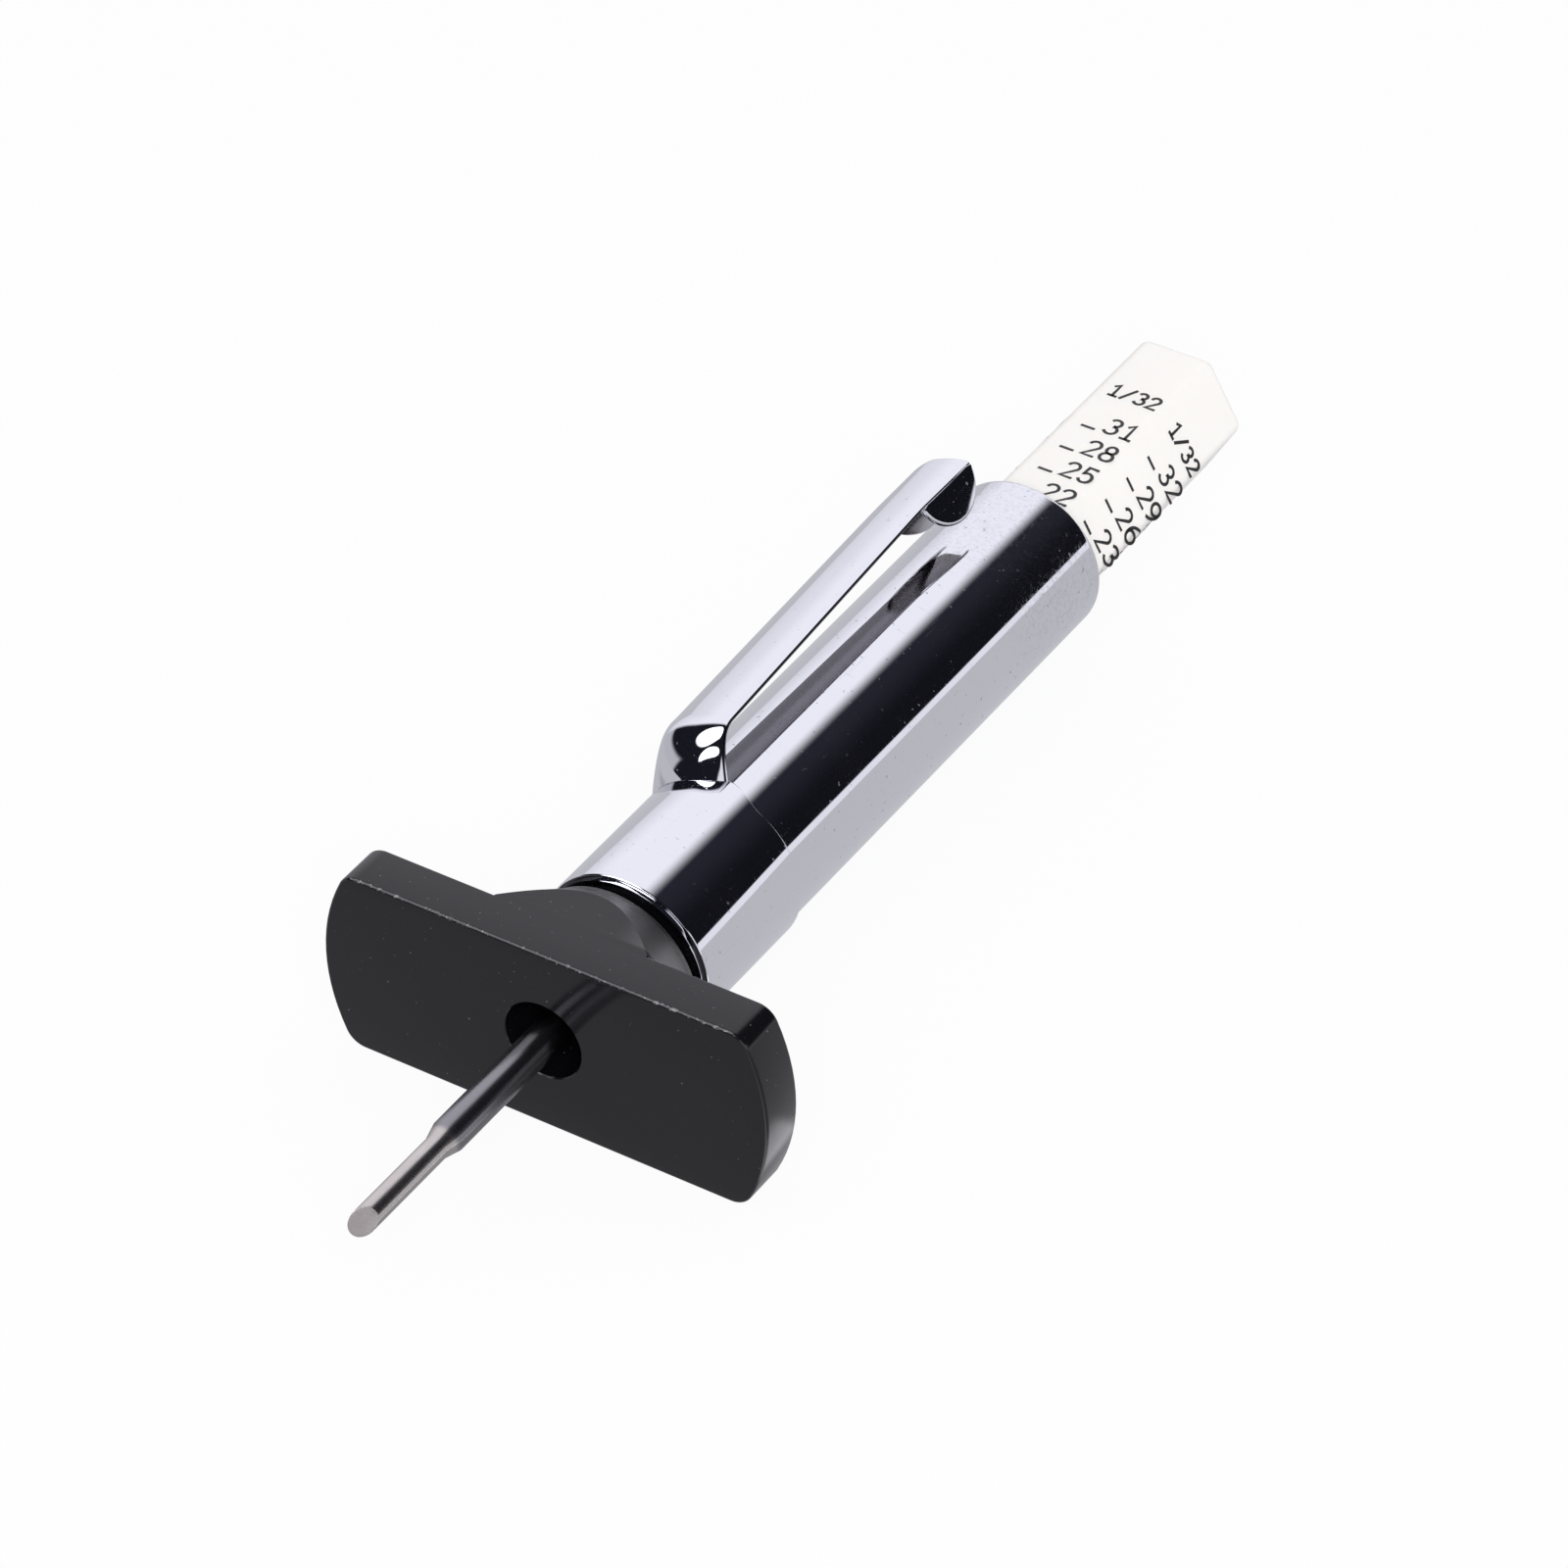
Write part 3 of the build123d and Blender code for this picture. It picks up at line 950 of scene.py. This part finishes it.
def tick_row_tree(material):
    """Geometry Nodes: a row of equal flat marks along the bar, turned on to one of its faces."""
    tree = bpy.data.node_groups.new("tick_row", "GeometryNodeTree")
    row = Tree(tree)
    names = ("Count", "First mark", "Pitch", "Turn", "Side", "Reach", "Length", "Width", "Height")
    for name in names:
        kind = "NodeSocketInt" if name == "Count" else "NodeSocketFloat"
        tree.interface.new_socket(name, in_out="INPUT", socket_type=kind)
    tree.interface.new_socket("Geometry", in_out="OUTPUT", socket_type="NodeSocketGeometry")

    def given(name):
        return row.node("NodeGroupInput", output=name)

    def vector(x, y, z):
        return row.node("ShaderNodeCombineXYZ", None, x, y, z)

    line = row.node(
        "GeometryNodeMeshLine",
        Count=given("Count"),
        Start_Location=vector(given("Side"), given("First mark"), given("Reach")),
        Offset=vector(0.0, given("Pitch"), 0.0),
    )
    size = vector(given("Length"), given("Width"), given("Height"))
    mark = row.node("GeometryNodeMeshCube", None, Size=size)
    marks = row.node("GeometryNodeInstanceOnPoints", None, Points=line, Instance=mark)
    turn = vector(0.0, given("Turn"), 0.0)
    real = row.node("GeometryNodeRealizeInstances", None, marks)
    turned = row.node("GeometryNodeTransform", None, Geometry=real, Rotation=turn)
    inked = row.node("GeometryNodeSetMaterial", None, Geometry=turned, Material=material)
    row.node("NodeGroupOutput", None, inked)
    return tree


def make_ticks(material):
    """All the marks of the scale as one thin mesh."""
    tree = tick_row_tree(material)
    bm = bmesh.new()
    for faces, pitch in ((inch_faces, inch_pitch), (metric_faces, 1.0)):
        for face, (first, last, step, side) in faces.items():
            given = {
                "Count": (last - first) // step + 1,
                "First mark": (first_inch_mark + first * pitch) * MM,
                "Pitch": step * pitch * MM,
                "Turn": radians(60 * face),
                "Side": side * MM,
                "Reach": bar_flat_to_flat / 2 * MM,
                "Length": tick_length * MM,
                "Width": stroke_width * MM,
                "Height": 2 * ink_height * MM,
            }
            row = bpy.data.objects.new("tick_row", bpy.data.meshes.new("tick_row"))
            bpy.context.scene.collection.objects.link(row)
            modifier = row.modifiers.new("tick_row", "NODES")
            modifier.node_group = tree
            for item in tree.interface.items_tree:
                if item.in_out == "INPUT":
                    modifier[item.identifier] = given[item.name]
            bake_modifiers(row)
            bm.from_mesh(row.data)
            bpy.data.objects.remove(row)
    bmesh.ops.scale(bm, vec=(1 / MM, 1 / MM, 1 / MM), verts=bm.verts)
    return finish_mesh(bm, "scale_ticks", 20.0)


def printed_figures():
    """(figure, face, middle across, middle along, height) of every printed figure."""
    figures = []

    def write(text, face, u, y, height=figure_height, advance=figure_advance):
        for place, sign in enumerate(text):
            figures.append((sign, face, u + place * advance, y, height))

    for faces, pitch in ((inch_faces, inch_pitch), (metric_faces, 1.0)):
        for face, (first, last, step, side) in faces.items():
            for number in range(first, last + 1, step):
                y = first_inch_mark + number * pitch + figure_offset
                write(str(number), face, side + figure_gap, y)
    for face, side in heading_sides.items():
        write("1/32", face, side, heading_place, heading_height, heading_advance)
    return figures


def make_print():
    """All printed figures as one thin raised mesh."""
    bm = bmesh.new()
    for sign, face, u, y, height in printed_figures():
        for points in GLYPHS[sign]:
            line = [(u + (x - GLYPH_MIDDLE) * height, y + (v - 0.5) * height) for x, v in points]
            add_stroke(bm, line, stroke_width / 2, face)
    return finish_mesh(bm, "scale_figures", 40.0)


def add_stroke(bm, line, half, face):
    """One pen stroke: a thin raised ribbon along a line on a face of the bar."""
    turn = radians(60 * face)
    flat = bar_flat_to_flat / 2

    def point(spot, height):
        reach = flat + height
        x = reach * sin(turn) + spot.x * cos(turn)
        z = reach * cos(turn) - spot.x * sin(turn)
        return (x, spot.y, z)

    closed = (Vector(line[0]) - Vector(line[-1])).length < 1e-6
    if closed:
        line = line[:-1]
    spots = [Vector(spot) for spot in line]
    rows = []
    for index, here in enumerate(spots):
        before = spots[index - 1] if closed or index > 0 else None
        after = spots[(index + 1) % len(spots)] if closed or index < len(spots) - 1 else None
        into = (here - before if before is not None else after - here).normalized()
        out = (after - here).normalized() if after is not None else into
        tangent = (into + out).normalized()
        normal = Vector((-tangent.y, tangent.x))
        # The ribbon keeps its width round a bend, as far as a sharp bend lets it
        bend = normal.dot(Vector((-into.y, into.x)))
        side = normal * half * min(1.6, 1 / max(0.3, bend))
        if not closed and index in (0, len(spots) - 1):
            here = here + tangent * (half * 0.6 * (1 if index else -1))
        left, right = here + side, here - side
        row = [point(left, -ink_root), point(left, ink_height)]
        row += [point(right, ink_height), point(right, -ink_root)]
        rows.append(row)
    ring_tube(bm, rows, closed)


marking_ink = ink()
scale_ticks = make_ticks(marking_ink)
dress(scale_ticks, marking_ink, "slider", None)
scale_figures = make_print()
dress(scale_figures, marking_ink, "slider", None)


# Floor, light and camera

WHITE = colour(1, 1, 1)

# In metres
floor_size = 4.0
lamp_aim = Vector((0, 0.025, 0))

# The photograph's view
camera_azimuth = 32.11
camera_elevation = 38.834
camera_roll = -0.15
camera_place = (163.7, -237.355, 248.864)
camera_lens = 169.23

# The two lamps in front: each an ellipse in the direction's X and Y, as centre and half axes
front_lamps = ((-0.45, -0.29, 0.34, 0.33), (-0.23, -0.742, 0.32, 0.068))
front_lamp_strength = 4.0


def make_floor():
    """A pale card that keeps the object's shadow, with a reflection of its own for the chrome."""
    bm = bmesh.new()
    bmesh.ops.create_grid(bm, x_segments=1, y_segments=1, size=floor_size / MM / 2)
    bmesh.ops.translate(bm, vec=(0, 0, floor_height), verts=bm.verts)
    floor = finish_mesh(bm, "floor", outward=False)
    finish = Material("floor_card")
    camera = finish.node("ShaderNodeLightPath", output="Is Camera Ray")
    glossy = finish.node("ShaderNodeLightPath", output="Is Glossy Ray")
    card = finish.node("ShaderNodeBsdfDiffuse", None, colour(0.80, 0.80, 0.81))
    glow = finish.node("ShaderNodeEmission", None, WHITE, 1.0)
    across = finish.axis("X")
    along = finish.axis("Y")
    behind = along.above(-2.0, 8.0)
    far_left = 1 - across.above(-60.0, 20.0)
    lit = behind + far_left * (1 - behind)
    # A bright strip beside the foot's right end
    beside = across.above(13.5, 1.0) * (1 - across.above(16.5, 4.0)) * (1 - along.above(6.0, 1.5))
    strength = 0.40 + lit * 0.19 + beside * 1.1
    mirrored = finish.node("ShaderNodeEmission", None, colour(0.97, 0.97, 1.03), strength)
    mixed = finish.node("ShaderNodeMixShader", None, camera * 0.93, card, glow)
    mixed = finish.node("ShaderNodeMixShader", None, glossy, mixed, mirrored)
    finish.node("ShaderNodeOutputMaterial", None, mixed)
    floor.data.materials.append(finish.block)


def make_world():
    """White for the camera, soft light for the object, and a studio for reflections: behind
    the object a dark bay from overhead to the right, in front a dark room with two lamps."""
    world = bpy.data.worlds.new("studio")
    bpy.context.scene.world = world
    sky = Material("studio", world)
    direction = sky.node("ShaderNodeTexCoord", output="Generated")
    parts = [sky.node("ShaderNodeSeparateXYZ", None, direction, output=name) for name in "XYZ"]
    across, along, up = parts
    # The angle round the barrel in degrees, from overhead towards +X
    turn = sky.node("ShaderNodeMath", {"operation": "ARCTAN2"}, across, up) * (180 / pi)
    left_card = 1 - turn.above(-8.6, 20.0)
    right_card = turn.above(81.0, 1.5)
    haze = 1 - turn.above(15.0, 45.0)
    low_left = 1 - turn.above(-96.0, 40.0)
    rear = 0.008 + haze * 0.016 + left_card * 1.04 - low_left * 0.27 + right_card * 0.93
    left_wall = (1 - turn.above(-82.0, 5.0)) * along.above(-0.60, 0.05)
    near_wall = turn.above(25.0, 8.0) * (1 - along.above(-0.72, 0.08))
    right_wall = turn.above(58.0, 8.0)
    front = 0.012 + left_wall * 0.55 + near_wall * 0.9 + right_wall * 0.9
    for middle_x, middle_y, reach_x, reach_y in front_lamps:
        aside = (across - middle_x) * (1 / reach_x)
        ahead = (along - middle_y) * (1 / reach_y)
        front = front + (1 - (aside * aside + ahead * ahead).above(0.85, 0.3)) * front_lamp_strength
    behind = along.above(0.16, 0.16)
    strength = front * (1 - behind) + rear * behind
    # What is dark in the studio is bluish
    hue = sky.mix(strength.above(0.0, 0.15), colour(0.85, 0.85, 1.30), colour(0.955, 0.955, 1.03))
    studio = sky.node("ShaderNodeBackground", None, hue, strength)
    soft = sky.node("ShaderNodeBackground", None, WHITE, 0.75)
    white = sky.node("ShaderNodeBackground", None, WHITE, 1.0)
    glossy = sky.node("ShaderNodeLightPath", output="Is Glossy Ray")
    camera = sky.node("ShaderNodeLightPath", output="Is Camera Ray")
    mixed = sky.node("ShaderNodeMixShader", None, glossy, soft, studio)
    mixed = sky.node("ShaderNodeMixShader", None, camera, mixed, white)
    sky.node("ShaderNodeOutputWorld", None, mixed)


def add_lamp(name, place, size, power):
    """A square soft lamp, placed in metres, that looks at the middle of the object."""
    light = bpy.data.lights.new(name, "AREA")
    light.shape = "SQUARE"
    light.size = size
    light.energy = power
    lamp = bpy.data.objects.new(name, light)
    lamp.location = place
    lamp.rotation_euler = (lamp_aim - Vector(place)).to_track_quat("-Z", "Y").to_euler()
    lamp.visible_glossy = False
    bpy.context.scene.collection.objects.link(lamp)


def make_camera():
    """The photograph's view: place, direction, roll and focal length."""
    azimuth = radians(camera_azimuth)
    elevation = radians(camera_elevation)
    roll = radians(camera_roll)
    back = Vector((sin(azimuth) * cos(elevation), -cos(azimuth) * cos(elevation), sin(elevation)))
    right = Vector((cos(azimuth), sin(azimuth), 0))
    up = back.cross(right)
    right, up = cos(roll) * right + sin(roll) * up, cos(roll) * up - sin(roll) * right
    data = bpy.data.cameras.new("camera")
    data.sensor_fit = "HORIZONTAL"
    data.sensor_width = 36.0
    data.lens = camera_lens
    data.clip_start = 0.01
    data.clip_end = 20.0
    camera = bpy.data.objects.new("camera", data)
    turn = Matrix((right, up, back)).transposed()
    camera.matrix_world = Matrix.Translation(Vector(camera_place) * MM) @ turn.to_4x4()
    bpy.context.scene.collection.objects.link(camera)
    bpy.context.scene.camera = camera


make_floor()
make_world()
add_lamp("key", place=(0.30, -0.40, 0.45), size=0.3, power=2.4)
make_camera()

scene = bpy.context.scene
scene.view_settings.view_transform = "Standard"
